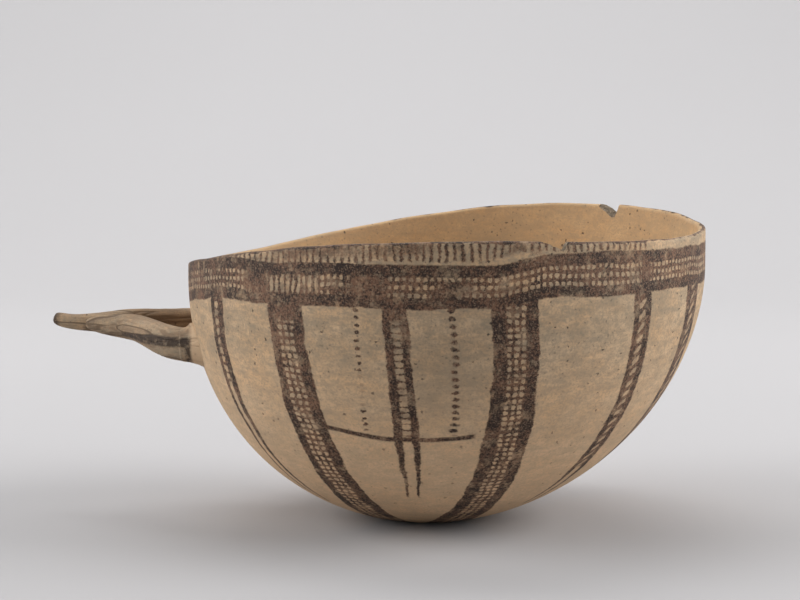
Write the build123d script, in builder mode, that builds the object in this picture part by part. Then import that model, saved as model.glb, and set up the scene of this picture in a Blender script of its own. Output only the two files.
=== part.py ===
"""Hand-built hemispherical bowl with a wishbone handle, coated in pale slip.

The potter's pieces stay separate: the clay wall, the slip laid over it outside and inside, the two straps
of clay pressed together into a wishbone, the tang of each strap pushed through a socket in the wall, the
luting clay packed round each root outside and the pad smoothed over each tang inside.

Frame: millimetres, +Z up, origin at the centre of the resting flat, handle towards -X.
"""

import os
from math import acos, cos, degrees, radians, sin, sqrt, tan

from build123d import *

os.makedirs("parts", exist_ok=True)

# Bowl: a ball-shaped body that turns upright at its widest ring and leans away from the handle
bowl_radius = 90.0  # finished outside, at the widest ring and above it
rest_radius = 13.0  # bare clay spot that the bowl stands on
lean = 6.8  # rim centre from the resting flat's centre, away from the handle
lean_power = 1.3  # how much of the lean sits low in the body

# Wall, finished, with the slip on both sides
floor_wall = 5.0
side_wall = 3.4  # at the widest ring
rim_wall = 2.6
slip_thickness = 0.5
lip_radius = 1.1  # rounding of the lip's two edges

# Rim: arched along the handle's line, lowest above the handle, and twisted from the near to the far side
rim_rise = 16.2  # arch's top above the widest ring
rim_fall = 15.5  # how much lower the rim is above the handle
crown_offset = 40.0  # arch's top from the rim's centre, away from the handle
rim_twist = 2.6  # degrees, at the bowl's two sides
twist_offset = -13.0  # where along the handle's line the two sides are level

# Two old chips in the lip
near_chip_bearing = 299.4  # degrees from +X, anticlockwise seen from above
near_chip_size = (9.0, 2.6)  # width along the rim and depth
far_chip_bearing = 52.6
far_chip_size = (8.7, 3.4)
chip_floor = (0.1, 0.35)  # where a chip's floor starts and ends, in shares of its width from its middle

# Handle: two straps that leave the wall side by side and meet in one stem
# A reach is measured along the handle from the widest ring, a rise from root_height
root_drop = 26.0  # middle of the two roots below the widest ring
root_tilt = 1.2  # far root above that height, near root below it
root_spread = 26.0  # strap centre from the handle's middle plane
bend_reach = 4.5  # where a strap turns in
neck_reach = 11.0  # where a strap is squeezed flat
crotch_reach = 22.0  # where the straps come together
crotch_rise = 3.8
press_depth = 0.8  # how far the two straps are pressed into each other
short_reach = 40.0  # end of the near, short strap
short_rise = 3.6
upturn_reach = 44.0  # where the far, long strap turns up
upturn_rise = 3.5
tip_reach = 52.2  # end of the long strap
tip_rise = 5.6
bend_radius = 18.0
crotch_radius = 22.0
upturn_radius = 20.0
root_section = (12.5, 11.0)  # width and height of a strap
neck_section = (11.0, 8.2)
crotch_section = (9.4, 9.0)
stem_section = (7.6, 5.8)  # half way from the crotch to the end
short_section = (5.2, 3.6)
tip_section = (5.2, 4.0)
end_rounding = 1.0
end_curve_share = 0.75  # most of the end's tightest curve that its rounding takes

# Joints of strap and wall
tang_radius = 4.0
tang_clearance = 0.1  # radial, round the tang in its socket
collar_length = 6.0  # luting clay along the strap
collar_foot = 5.0  # luting clay beside the strap, inside the wall
collar_edge = 0.8  # its thickness where it ends on the strap
pad_radius = 9.0
pad_height = 1.6

# How finely the forms are drawn
ring_count = 9  # rings from the floor to the widest ring
section_count = 13  # sections along a strap
floor_angle = 6.0  # polar angle of the first ring inside
over = 6.0  # how far trimming tools stand past what they trim
inner_seam = 35.0  # bearings where the hollow and the mid-wall form close, apart from the outer skin's
middle_seam = 75.0

equator_height = sqrt((bowl_radius - slip_thickness) ** 2 - rest_radius**2)
rim_crown = equator_height + rim_rise
arch_radius = ((bowl_radius + crown_offset) ** 2 + rim_fall**2) / (2 * rim_fall)
root_height = equator_height - root_drop
side_reach = bowl_radius + over  # from the rim's centre to the ends of the rim's trimming tool
wall_top = rim_crown + side_reach * tan(radians(rim_twist)) + over
handle_start = lean - bowl_radius  # X of the widest ring on the handle's side


def axis_x(height):
    """X of the body's middle at a height: it leans away from the handle up to the widest ring."""
    below = max(0.0, equator_height - height) / equator_height
    return lean * (1 - below**lean_power)


def body_rings(radius_at, first_angle):
    """Heights and radii of the rings of a ball-shaped form, from its foot to above the rim."""
    rings = []
    for step in range(ring_count):
        angle = first_angle + (90.0 - first_angle) * step / (ring_count - 1)
        radius = radius_at(angle, equator_height)
        height = equator_height - radius * cos(radians(angle))
        rings.append((height, radius * sin(radians(angle))))
    for share in (0.5, 1.0):
        height = equator_height + (wall_top - equator_height) * share
        rings.append((height, radius_at(90.0, height)))
    return rings


def ring_loft(rings, seam):
    """Solid through level rings that follow the leaning axis, with its seam towards a bearing."""
    seam_way = (cos(radians(seam)), sin(radians(seam)), 0)
    with BuildPart() as form:
        for height, radius in rings:
            with BuildSketch(Plane((axis_x(height), 0, height), x_dir=seam_way)):
                Circle(radius)
        loft()
    return form.part


def outer_form(inset, seam=0.0):
    """Everything inside the bowl's outer skin, with the skin set in by inset."""
    radius = bowl_radius - inset
    foot_angle = degrees(acos(min(1.0, equator_height / radius)))
    return ring_loft(body_rings(lambda angle, height: radius, max(foot_angle, floor_angle)), seam)


def wall_at(angle, height):
    """Finished wall thickness: it thins from floor to side, and again from side to lip."""
    side = floor_wall + (side_wall - floor_wall) * angle / 90.0
    lip_share = (height - equator_height) / (rim_crown - equator_height)
    return side + (rim_wall - side_wall) * max(0.0, lip_share)


def cavity_form(grow):
    """The hollow of the bowl, grown into the wall by grow."""
    rings = body_rings(lambda angle, height: bowl_radius - wall_at(angle, height) + grow, floor_angle)
    return ring_loft(rings, inner_seam)


def rim_level(x, y):
    """Height of the finished rim at a place."""
    reach = x - lean - crown_offset
    arch = rim_crown - arch_radius + sqrt(arch_radius**2 - reach**2)
    return arch + tan(radians(rim_twist)) * (x - lean - twist_offset) * y / side_reach


def below_rim(drop):
    """Everything below the uneven rim, with the rim lowered by drop."""
    with BuildPart() as block:
        for y in (-side_reach, side_reach):
            with BuildSketch(Plane.XZ.offset(-y)):
                with BuildLine():
                    places = [lean - side_reach, lean, lean + side_reach]
                    arch = ThreePointArc(*[(x, rim_level(x, y) - drop) for x in places])
                    Polyline(arch @ 1, (places[2], -over), (places[0], -over), arch @ 0)
                make_face()
        loft(ruled=True)
    return block.part


def rim_point(bearing):
    """Point on the finished rim at a bearing from +X, at the outer skin."""
    x = lean + bowl_radius * cos(radians(bearing))
    y = bowl_radius * sin(radians(bearing))
    return Vector(x, y, rim_level(x, y))


def chip_tool(bearing, width, depth):
    """Wedge that breaks a chip out of the lip."""
    outward = Vector(cos(radians(bearing)), sin(radians(bearing)), 0)
    along = Vector(-outward.Y, outward.X, 0)
    floor_start, floor_end = chip_floor
    with BuildPart() as tool:
        with BuildSketch(Plane(rim_point(bearing), x_dir=along, z_dir=outward)):
            with BuildLine():
                Polyline(
                    (-width / 2, over),
                    (-width / 2, 0),
                    (floor_start * width, -depth),
                    (floor_end * width, -depth),
                    (width / 2, 0),
                    (width / 2, over),
                    close=True,
                )
            make_face()
        extrude(amount=over, both=True)
    return tool.part


def lip_edges(part):
    """The long edges where the rim's cut meets the two skins."""
    lowest = equator_height - over
    return [
        edge
        for edge in part.edges()
        if edge.bounding_box().min.Z > lowest and edge.length > 3 * side_wall
    ]


def bowl_solid(inset):
    """The bowl as one solid, with every skin set in by inset: 0 is the finished bowl."""
    skin = outer_form(inset)
    hollow = cavity_form(inset)
    rim_trim = below_rim(inset)
    wedges = [chip_tool(near_chip_bearing, *near_chip_size), chip_tool(far_chip_bearing, *far_chip_size)]
    with BuildPart() as bowl:
        add(skin)
        add(hollow, mode=Mode.SUBTRACT)
        add(rim_trim, mode=Mode.INTERSECT)
        fillet(lip_edges(bowl.part), radius=lip_radius - inset)
        add(wedges, mode=Mode.SUBTRACT)
    return bowl.part


def root_point(side, radius):
    """Point where the middle of a root crosses the body's ball of a given radius."""
    height = root_height + side * root_tilt
    level = equator_height - height
    x = axis_x(height) - sqrt(radius**2 - level**2 - root_spread**2)
    return Vector(x, side * root_spread, height)


def strap_path(side, free_end):
    """Middle line of a strap, from inside the wall over its bend and the crotch to its free end."""
    start = root_point(side, bowl_radius) + Vector(side_wall + over, 0, 0)
    crotch_offset = side * (crotch_section[0] - press_depth) / 2
    turns = [
        (bend_reach, start.Y, start.Z),
        (crotch_reach, crotch_offset, root_height + crotch_rise + side * root_tilt / 2),
        *free_end,
    ]
    points = [start] + [(handle_start - reach, offset, height) for reach, offset, height in turns]
    radii = [bend_radius, crotch_radius, upturn_radius]
    with BuildLine() as path:
        FilletPolyline(*points, radius=radii[: len(points) - 2])
    return path.wires()[0]


def share_at(path, reach):
    """Share of a strap's length that lies before a reach from the widest ring."""
    low, high = 0.0, 1.0
    for _ in range(30):
        middle = (low + high) / 2
        if handle_start - (path @ middle).X < reach:
            low = middle
        else:
            high = middle
    return low


def section_plane(path, share):
    """Plane square to a strap's middle line, with its X axis level."""
    heading = path % share
    return Plane(path @ share, x_dir=(-heading.Y, heading.X, 0), z_dir=heading)


def strap_section(path, share, end_section):
    """Width and height of a strap at a share of its length."""
    crotch_share = share_at(path, crotch_reach)
    stations = (
        (0.0, root_section),
        (share_at(path, bend_reach), root_section),
        (share_at(path, neck_reach), neck_section),
        (crotch_share, crotch_section),
        ((crotch_share + 1) / 2, stem_section),
        (1.0, end_section),
    )
    for (start, before), (end, after) in zip(stations, stations[1:]):
        if share <= end:
            part = (share - start) / (end - start)
            return [size + part * (next_size - size) for size, next_size in zip(before, after)]


def strap_solid(path, end_section):
    """A strap of clay before it is fitted to the wall, with a rounded free end."""
    with BuildPart() as strap:
        for step in range(section_count):
            share = step / (section_count - 1)
            width, height = strap_section(path, share, end_section)
            with BuildSketch(section_plane(path, share)):
                Ellipse(width / 2, height / 2)
        loft()
        tightest_curve = end_section[1] ** 2 / (2 * end_section[0])
        rounding = min(end_rounding, end_curve_share * tightest_curve)
        fillet(strap.edges().sort_by(Axis.X)[0], radius=rounding)
    return strap.part


def tang_tool(side, radius):
    """Round tang along X through the wall at one root."""
    start = root_point(side, bowl_radius) + Vector(side_wall + over, 0, 0)
    with BuildPart() as tool:
        with BuildSketch(Plane(start, z_dir=(-1, 0, 0))):
            Circle(radius)
        extrude(amount=start.X - handle_start)
    return tool.part


def collar_tool(path, side):
    """Flared lump of luting clay round a root, before the strap and the wall are taken out of it."""
    buried = (path @ 0).X - root_point(side, bowl_radius).X
    width, height = root_section
    with BuildPart() as lump:
        with BuildSketch(section_plane(path, 0.0)):
            Ellipse(width / 2 + collar_foot, height / 2 + collar_foot)
        with BuildSketch(section_plane(path, (buried + collar_length) / path.length)):
            Ellipse(width / 2 + collar_edge, height / 2 + collar_edge)
        loft()
    return lump.part


def pad_ball(side):
    """Ball whose cap is the pad smoothed over a tang inside the bowl."""
    ball_radius = (pad_radius**2 + pad_height**2) / (2 * pad_height)
    outer_skin = root_point(side, bowl_radius)
    polar_angle = degrees(acos((equator_height - outer_skin.Z) / bowl_radius))
    skin = root_point(side, bowl_radius - wall_at(polar_angle, outer_skin.Z))
    inward = (Vector(axis_x(skin.Z), 0, equator_height) - skin).normalized()
    with BuildPart() as ball:
        with Locations(skin + inward * (pad_height - ball_radius)):
            Sphere(ball_radius)
    return ball.part


short_end = [(short_reach, (press_depth - stem_section[0]) / 2, root_height + short_rise)]
long_end = [(upturn_reach, 0, root_height + upturn_rise), (tip_reach, 0, root_height + tip_rise)]

# Forms that the pieces share
finished_bowl = bowl_solid(0)
core_bowl = bowl_solid(slip_thickness)
core_form = outer_form(slip_thickness)
core_hollow = cavity_form(slip_thickness)
mid_wall = outer_form(rim_wall / 2, middle_seam)
sockets = [tang_tool(side, tang_radius + tang_clearance) for side in (-1, 1)]
front_tang, back_tang = [tang_tool(side, tang_radius) for side in (-1, 1)]
front_path = strap_path(-1, short_end)
back_path = strap_path(1, long_end)
front_strap = strap_solid(front_path, short_section)
back_strap = strap_solid(back_path, tip_section)
front_lump = collar_tool(front_path, -1)
back_lump = collar_tool(back_path, 1)
front_ball, back_ball = [pad_ball(side) for side in (-1, 1)]

# Clay wall of the bowl, with a socket for each tang
with BuildPart() as bowl_body:
    add(core_bowl)
    add(sockets, mode=Mode.SUBTRACT)

# Long strap: the far arm of the wishbone, which runs on to the tip
with BuildPart() as back_handle_arm:
    add(back_strap)
    add(core_form, mode=Mode.SUBTRACT)
    add(back_tang)
    add(core_hollow, mode=Mode.SUBTRACT)

# Short strap: the near arm, pressed against the long one and ending before the tip
with BuildPart() as front_handle_arm:
    add(front_strap)
    add(back_strap, mode=Mode.SUBTRACT)
    add(core_form, mode=Mode.SUBTRACT)
    add(front_tang)
    add(core_hollow, mode=Mode.SUBTRACT)

# Luting clay round the two roots
with BuildPart() as front_root_collar:
    add(front_lump)
    add([core_form, front_strap], mode=Mode.SUBTRACT)

with BuildPart() as back_root_collar:
    add(back_lump)
    add([core_form, back_strap], mode=Mode.SUBTRACT)

# Pads smoothed over the tangs inside
with BuildPart() as front_tang_pad:
    add(front_ball)
    add(core_hollow, mode=Mode.INTERSECT)

with BuildPart() as back_tang_pad:
    add(back_ball)
    add(core_hollow, mode=Mode.INTERSECT)

# Pale slip over the outside, up to the middle of the lip and round the two roots
with BuildPart() as outer_slip:
    add(finished_bowl)
    add([mid_wall, core_bowl], mode=Mode.SUBTRACT)
    add([front_lump, back_lump, front_strap, back_strap], mode=Mode.SUBTRACT)

# Slip over the inside, up to the middle of the lip and round the two pads
with BuildPart() as inner_slip:
    add(finished_bowl)
    add(mid_wall, mode=Mode.INTERSECT)
    add([core_bowl, front_ball, back_ball], mode=Mode.SUBTRACT)

pieces = {
    "bowl_body": bowl_body,
    "outer_slip": outer_slip,
    "inner_slip": inner_slip,
    "front_handle_arm": front_handle_arm,
    "back_handle_arm": back_handle_arm,
    "front_root_collar": front_root_collar,
    "back_root_collar": back_root_collar,
    "front_tang_pad": front_tang_pad,
    "back_tang_pad": back_tang_pad,
}
for node, piece in pieces.items():
    piece.part.label = node
    export_step(piece.part, f"parts/{node}.step")
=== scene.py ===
"""Looks of a hand-built slip-ware bowl with a wishbone handle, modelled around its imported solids.

Everything is in metres in the frame of the solids: +Z up, the origin in the middle of the resting
spot, the handle towards -X. The paint is drawn in millimetres, by bearing round the bowl and by height.
"""

from functools import cache, reduce
from math import acos, atan2, cos, degrees, pi, radians, sin, sqrt, tan
from operator import or_

import bmesh
import bpy
from bpy.props import FloatProperty, FloatVectorProperty, IntProperty, PointerProperty
from mathutils import Matrix, Vector, noise


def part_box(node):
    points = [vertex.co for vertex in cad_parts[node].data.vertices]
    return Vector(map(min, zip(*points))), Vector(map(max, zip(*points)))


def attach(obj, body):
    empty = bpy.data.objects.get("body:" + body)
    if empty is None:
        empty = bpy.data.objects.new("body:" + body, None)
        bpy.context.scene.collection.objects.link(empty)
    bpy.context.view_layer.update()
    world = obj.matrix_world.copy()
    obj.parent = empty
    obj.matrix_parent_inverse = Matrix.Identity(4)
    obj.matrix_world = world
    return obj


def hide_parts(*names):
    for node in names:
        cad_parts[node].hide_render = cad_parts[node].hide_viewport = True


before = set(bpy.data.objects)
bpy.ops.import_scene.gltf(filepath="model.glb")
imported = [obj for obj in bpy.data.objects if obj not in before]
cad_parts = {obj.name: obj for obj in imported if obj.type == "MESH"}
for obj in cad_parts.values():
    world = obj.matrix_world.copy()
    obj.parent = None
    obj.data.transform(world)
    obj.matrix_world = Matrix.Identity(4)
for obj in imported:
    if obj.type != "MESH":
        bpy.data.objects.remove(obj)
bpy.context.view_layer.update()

bl_info = {
    "name": "Slip-ware bowl with a wishbone handle",
    "version": (1, 0, 0),
    "blender": (4, 5, 0),
    "location": "View3D > Sidebar > Bowl",
    "description": "Models a painted, hand-built bowl with its handle, and a stage to show it on",
    "category": "Add Mesh",
}

MM = 0.001  # one millimetre in metres
COAT_LOW, COAT_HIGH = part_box("outer_slip")


def length(name, description, default):
    """A length property, in metres."""
    return FloatProperty(name=name, description=description, default=default, unit="LENGTH")


def angle(name, description, default):
    """An angle property, from a default in degrees."""
    return FloatProperty(
        name=name, description=description, default=radians(default), subtype="ANGLE"
    )


def colour(name, description, default):
    """A colour property, in linear light."""
    return FloatVectorProperty(
        name=name, description=description, default=default, subtype="COLOR", size=3
    )


class BowlSizes(bpy.types.PropertyGroup):
    """Sizes of the bowl and its lip"""

    radius: length("Radius", "Outside, from the widest ring up", (COAT_HIGH.y - COAT_LOW.y) / 2)
    rest_radius: length("Resting spot", "Radius of the bare spot that the bowl stands on", 13 * MM)
    lean: length("Lean", "Rim centre from the resting spot, away from the handle", 6.8 * MM)
    lean_power: FloatProperty(name="Lean power", description="How low the lean sits", default=1.3)
    floor_wall: length("Floor", "Thickness of the floor", 5.0 * MM)
    side_wall: length("Side", "Thickness of the wall at the widest ring", 3.4 * MM)
    rim_wall: length("Lip", "Thickness of the wall at the lip", 2.6 * MM)
    coat: length("Coat", "Thickness of the slip coats", 0.5 * MM)
    lip_radius: length("Lip rounding", "Radius of the lip's two edges", 1.1 * MM)
    rim_rise: length("Rim rise", "Top of the rim's arch above the widest ring", 16.2 * MM)
    rim_fall: length("Rim fall", "How much lower the rim is above the handle", 15.5 * MM)
    crown_offset: length("Crown offset", "Arch's top from the rim's centre", 40 * MM)
    rim_twist: angle("Rim twist", "Slope across the bowl's two sides", 2.6)
    twist_offset: length("Twist offset", "Where the bowl's two sides are level", -13 * MM)
    twist_reach: length("Twist reach", "Where beside the rim's centre the twist is measured", 96 * MM)
    dent: length("Dents", "Depth of the hand-made unevenness", 0.4 * MM)
    turns: IntProperty(name="Turns", description="Steps round the bowl", default=300)
    steps: IntProperty(name="Steps", description="Steps up the wall", default=84)


class HandleSizes(bpy.types.PropertyGroup):
    """Sizes of the wishbone handle"""

    root_drop: length("Root drop", "Middle of the roots below the widest ring", 26 * MM)
    root_spread: length("Root spread", "Strap from the handle's middle plane", 26 * MM)
    collar_length: length("Collar length", "Luting clay along the strap", 6 * MM)
    collar_foot: length("Collar foot", "Luting clay beside the strap", 2.2 * MM)
    pad_radius: length("Pad radius", "Pad over a tang inside the bowl", 9 * MM)
    pad_height: length("Pad height", "Height of that pad", 1.6 * MM)
    sides: IntProperty(name="Sides", description="Points round a strap", default=20)


class ClayColours(bpy.types.PropertyGroup):
    """Colours of slip, paint and clay"""

    slip: colour("Slip", "Warm tan slip of the outside", (0.56, 0.375, 0.22))
    slip_pale: colour("Pale slip", "Paler patches of the outside", (0.61, 0.43, 0.27))
    stain: colour("Stain", "Grey stains on the slip", (0.25, 0.205, 0.145))
    inside: colour("Inside", "Slip of the inside", (0.575, 0.365, 0.185))
    paint: colour("Paint", "Thick paint", (0.031, 0.019, 0.014))
    paint_thin: colour("Thin paint", "Paint where it is thin", (0.15, 0.064, 0.036))
    wear: colour("Wear", "Grains where the paint is worn", (0.27, 0.18, 0.12))
    handle: colour("Handle", "Worn slip of the handle", (0.42, 0.29, 0.18))
    fracture: colour("Fracture", "Bare clay in the chips", (0.22, 0.17, 0.12))
    fleck: colour("Fleck", "Dark flecks in the slip", (0.15, 0.115, 0.08))
    pit: colour("Pit", "Open pits in the slip", (0.055, 0.043, 0.034))
    # darker grey patch on the near side, about the middle of the wall
    near_grey: colour("Darker", "Grime on the near side", (0.12, 0.1, 0.07))
    # painted bounce light: the lower outside is tinted paler and warmer, as if lit from the floor
    clean: colour("Bounce", "Brighter slip low on the outside", (0.98, 0.66, 0.4))
    streak: colour("Streak", "Streaks along the handle", (0.15, 0.095, 0.06))
    crease: colour("Crease", "Creases along the handle", (0.07, 0.045, 0.03))
    # painted shade where the straps' sides face each other across the gap
    painted_gap_shade: colour("Shade", "Straps' sides that face each other", (0.17, 0.095, 0.045))


class StageSettings(bpy.types.PropertyGroup):
    """Backdrop, light and camera"""

    backdrop: colour("Backdrop", "Floor and backdrop", (0.43, 0.42, 0.424))
    glow: colour("Glow", "Paper that the lamps don't reach, to the eye", (0.28, 0.28, 0.28))
    room: colour("Room", "Light of the room", (0.96, 0.98, 1.0))
    room_strength: FloatProperty(name="Room light", description="Its strength", default=0.47)
    camera_distance: length("Distance", "Camera from the rim's centre", 0.800)
    camera_height: length("Height", "Camera above the resting face", 0.1515)
    camera_pitch: angle("Pitch", "Downward pitch of the camera", 5.38)
    camera_bearing: angle("Bearing", "Camera's place round the bowl, past -Y", 7)
    camera_yaw: angle("Yaw", "Turn of the camera to the left of the bowl", 1.16)
    focal: FloatProperty(name="Focal length", description="In millimetres", default=103.17)


# Form of the bowl


def bowl():
    """The bowl's sizes."""
    return bpy.context.scene.bowl_sizes


def handle():
    """The handle's sizes."""
    return bpy.context.scene.handle_sizes


def tints():
    """The colours of slip, paint and clay."""
    return bpy.context.scene.clay_colours


def widest_height():
    """Height of the widest ring."""
    return sqrt((bowl().radius - bowl().coat) ** 2 - bowl().rest_radius ** 2)


def axis_x(height):
    """X of the body's middle at a height."""
    below = max(0.0, widest_height() - height) / widest_height()
    return bowl().lean * (1 - below ** bowl().lean_power)


def skin_radius(height):
    """Outside radius of the bowl at a height."""
    below = max(0.0, widest_height() - height)
    return sqrt(max(0.0, bowl().radius ** 2 - below ** 2))


def crown_height():
    """Height of the top of the rim's arch."""
    return widest_height() + bowl().rim_rise


def arch_radius():
    """Radius of the rim's arch."""
    size = bowl()
    return ((size.radius + size.crown_offset) ** 2 + size.rim_fall ** 2) / (2 * size.rim_fall)


def rim_level(x, y):
    """Height of the rim at a place measured from the rim's centre."""
    size = bowl()
    reach = x - size.crown_offset
    arch = crown_height() - arch_radius() + sqrt(arch_radius() ** 2 - reach ** 2)
    return arch + tan(size.rim_twist) * (x - size.twist_offset) * y / size.twist_reach


def wall_at(angle, height):
    """Thickness of the finished wall at a polar angle in degrees and a height."""
    size = bowl()
    side = size.floor_wall + (size.side_wall - size.floor_wall) * angle / 90
    lip_share = max(0.0, (height - widest_height()) / size.rim_rise)
    return side + (size.rim_wall - size.side_wall) * lip_share


def skin_points(depth_at, first_angle, steps):
    """Profile points up to the lip's rounding, of a skin depth_at(angle, height) below the outside."""
    level = widest_height()
    top = crown_height() - bowl().lip_radius
    points = []
    for step in range(steps + 1):
        angle = first_angle + (90 - first_angle) * step / steps
        radius = bowl().radius - depth_at(angle, level)
        points.append((radius * sin(radians(angle)), level - radius * cos(radians(angle))))
    rise_steps = max(2, steps // 5)
    for step in range(1, rise_steps + 1):
        height = level + (top - level) * step / rise_steps
        points.append((bowl().radius - depth_at(90, height), height))
    return points


def foot_angle(inset):
    """Polar angle where a skin set in by inset meets the resting plane."""
    return degrees(acos(min(1.0, widest_height() / (bowl().radius - inset))))


def lip_half(side, inset):
    """Profile of the lip's outer (side 1) or inner half (side -1), from its skin to its middle."""
    size = bowl()
    steps = 6
    middle = size.radius - size.rim_wall / 2
    across = middle + side * (size.rim_wall / 2 - size.lip_radius)
    up = crown_height() - size.lip_radius
    radius = size.lip_radius - inset
    start = 90 - 90 * side
    turns = [radians(start + (90 - start) * step / steps) for step in range(steps + 1)]
    rounding = [(across + radius * cos(turn), up + radius * sin(turn)) for turn in turns]
    return rounding + [(middle, crown_height() - inset)]


def inner_depth(inset):
    """Depth of the inner skin, set into the wall by inset."""
    return lambda angle, height: wall_at(angle, height) - inset


# Modelling steps

WELD = 0.01 * MM  # vertices nearer than this are one
SLIVER = 0.001 * MM  # what a cut leaves thinner than this goes
SHARP = radians(50)  # edges over this angle stay sharp
ROUND_LEVELS = 2  # subdivisions of a ringed piece
CHIP_SEED = 1  # keeps the chips' rough faces the same in every run


def deselect():
    """Leave edit mode and deselect everything."""
    if bpy.context.object and bpy.context.object.mode != "OBJECT":
        bpy.ops.object.mode_set(mode="OBJECT")
    bpy.ops.object.select_all(action="DESELECT")


def pick(piece):
    """Select one piece alone and make it active."""
    deselect()
    bpy.context.view_layer.objects.active = piece
    piece.select_set(True)


def edit_all():
    """Go into edit mode with everything selected."""
    bpy.ops.object.mode_set(mode="EDIT")
    bpy.ops.mesh.select_all(action="SELECT")


def drawn_profile(name, points):
    """An object whose mesh is a line through profile points, drawn by extruding one vertex."""
    deselect()
    first = Vector((points[0][0], 0, points[0][1]))
    bpy.ops.mesh.primitive_plane_add(size=MM, location=first)
    piece = bpy.context.object
    piece.name = name
    bpy.ops.object.transform_apply()
    edit_all()
    bpy.ops.mesh.merge(type="CENTER")
    for before, after in zip(points, points[1:]):
        step = (after[0] - before[0], 0, after[1] - before[1])
        bpy.ops.mesh.extrude_region_move(TRANSFORM_OT_translate={"value": step})
    return piece


def spun(piece):
    """Spin the drawn profile round the bowl's axis and close its seam and poles."""
    bpy.ops.mesh.select_all(action="SELECT")
    bpy.ops.mesh.spin(steps=bowl().turns, angle=2 * pi, center=(0, 0, 0), axis=(0, 0, 1))
    bpy.ops.mesh.select_all(action="SELECT")
    bpy.ops.mesh.remove_doubles(threshold=WELD)
    bpy.ops.mesh.normals_make_consistent(inside=False)
    bpy.ops.object.mode_set(mode="OBJECT")
    bpy.ops.object.shade_smooth_by_angle(angle=SHARP)
    return piece


def ease(share):
    """Smooth step from 0 to 1."""
    share = min(1.0, max(0.0, share))
    return share * share * (3 - 2 * share)


def dent_at(point):
    """Depth of the hand-made unevenness at a place: the same for every skin."""
    broad_size, fine_size = 38 * MM, 13 * MM
    broad = noise.noise(point / broad_size)
    fine = noise.noise(point / fine_size + Vector((7, 3, 1)))
    return bowl().dent * (0.5 + 0.36 * broad + 0.14 * fine)


def hand_shaped(piece):
    """Lean the level spun form, sink and twist its rim and press the hand's dents into it."""
    crown = crown_height()
    start, stop = 55 * MM, crown - 3 * MM  # heights between which the rim's sinking sets in
    wave_height, wave_length = 0.45 * MM, 17 * MM  # of the lip
    foot_height, foot_radius = 12 * MM, 20 * MM  # of the foot, which has no dents
    for vertex in piece.data.vertices:
        x, y, z = vertex.co
        radius = sqrt(x * x + y * y)
        bearing = atan2(y, x)
        rim = Vector((bowl().radius * cos(bearing), bowl().radius * sin(bearing), 0))
        lip_wave = wave_height * (noise.noise(rim / wave_length) - 0.6)
        sink = (rim_level(rim.x, rim.y) - crown + lip_wave) * ease((z - start) / (stop - start))
        depth = skin_radius(z) - radius
        height = z + sink
        middle = Vector((rim.x, rim.y, height))
        press = dent_at(middle) * ease(height / foot_height)
        radius = radius if height < start else skin_radius(height) - depth
        radius = max(0.0, radius - press * min(1.0, radius / foot_radius))
        vertex.co = (axis_x(height) + radius * cos(bearing), radius * sin(bearing), height)
    piece.data.update()
    return piece


def chip_tool(name, bearing, width, depth, floor, tilt):
    """Rough lump that breaks a chip out of the lip.

    Its floor lies between two shares of the width from the chip's middle, and sinks inwards by tilt.
    """
    turn = radians(bearing)
    out = Vector((cos(turn), sin(turn), 0))
    along = Vector((-out.y, out.x, 0))
    rim = out * bowl().radius
    top = Vector((rim.x + bowl().lean, rim.y, rim_level(rim.x, rim.y)))
    thick, tall, above = 12 * MM, 8 * MM, 5 * MM  # through the wall, in all and over the lip
    lip = tall / 2 - above
    coarse, fine = 0.3 * MM, 0.14 * MM  # roughness of the broken faces
    lump_size = 1.6 * MM
    deselect()
    bpy.ops.mesh.primitive_cube_add(size=1, location=(0, 0, 0))
    tool = bpy.context.object
    tool.name = name
    bpy.ops.transform.resize(value=(width, thick, tall))
    bpy.ops.object.transform_apply()
    bpy.ops.object.mode_set(mode="EDIT")
    for side, floor_share in zip((-1, 1), floor):
        edge_x = side * width / 2
        normal = Vector((depth, 0, width * floor_share - edge_x)) * side
        bpy.ops.mesh.select_all(action="SELECT")
        bpy.ops.mesh.bisect(
            plane_co=(edge_x, 0, lip), plane_no=normal.normalized(), use_fill=True, clear_outer=True
        )
    bpy.ops.mesh.select_all(action="SELECT")
    bpy.ops.mesh.quads_convert_to_tris()
    bpy.ops.mesh.subdivide(number_cuts=5)
    bpy.ops.mesh.subdivide(number_cuts=2)
    bpy.ops.object.mode_set(mode="OBJECT")
    noise.seed_set(CHIP_SEED)
    for vertex in tool.data.vertices:
        place = vertex.co / lump_size + Vector((bearing, 0, 0))
        vertex.co += noise.noise_vector(place) * coarse + noise.noise_vector(place * 2.7) * fine
    turned = Matrix((along, -out, Vector((0, 0, 1)))).transposed().to_4x4()
    sunk = Matrix.Rotation(-tilt, 4, "X") @ Matrix.Translation((0, 0, depth - lip))
    shift = Matrix.Translation(top - Vector((0, 0, depth)))
    tool.data.transform(shift @ turned @ sunk)
    return tool


def cut_by(piece, tools):
    """Cut a piece by rough tools and keep the tools' material on the broken faces."""
    pick(piece)
    for tool in tools:
        cut = piece.modifiers.new("chip", "BOOLEAN")
        cut.operation = "DIFFERENCE"
        cut.solver = "EXACT"
        cut.object = tool
        cut.material_mode = "TRANSFER"
        bpy.ops.object.modifier_apply(modifier=cut.name)
    edit_all()
    bpy.ops.mesh.dissolve_degenerate(threshold=SLIVER)
    bpy.ops.mesh.delete_loose()
    select_vertices(piece, lambda vertex: len(vertex.link_edges) == 2)
    bpy.ops.mesh.dissolve_verts()
    bpy.ops.object.mode_set(mode="OBJECT")


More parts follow.
